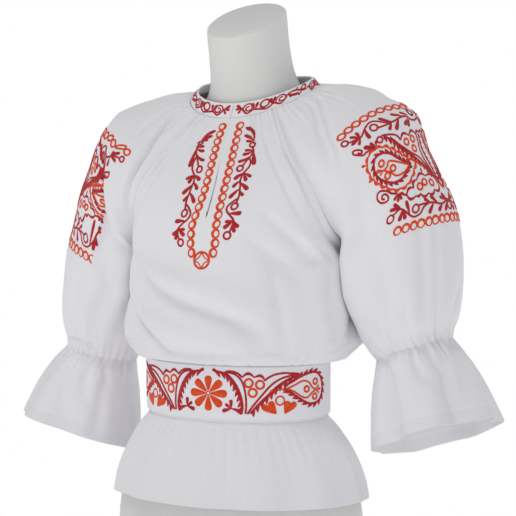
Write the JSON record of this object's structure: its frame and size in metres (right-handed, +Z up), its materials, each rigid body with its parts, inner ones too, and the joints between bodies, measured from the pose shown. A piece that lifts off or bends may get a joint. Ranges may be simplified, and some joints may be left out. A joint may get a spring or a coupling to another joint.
{
  "type": "folk blouse on dress form",
  "caption": "Folk blouse with puffed, elasticated raglan sleeves ending in flounces, a slit front and a wide belt, worn by a limbless dress form.",
  "frame": {"origin": "middle of the whole part's footprint, at the flat underside of the dress form", "axes": "+Z up, -Y the front of the blouse, +X the wearer's left"},
  "size_m": [0.6722, 0.277, 0.7862],
  "materials": {
    "cotton": "fine plain-woven white cotton",
    "neckband_cloth": "white cotton band with cherry red satin-stitch embroidery",
    "belt_cloth": "stiffened white cotton with cherry red and orange satin-stitch embroidery",
    "form": "matt white shell"
  },
  "bodies": {
    "root": {"dress_form": "form", "front": "cotton", "back": "cotton", "sleeve_left": "cotton", "sleeve_right": "cotton", "flounce_left": "cotton", "flounce_right": "cotton", "neckband": "neckband_cloth", "belt": "belt_cloth"}
  },
  "joints": []
}
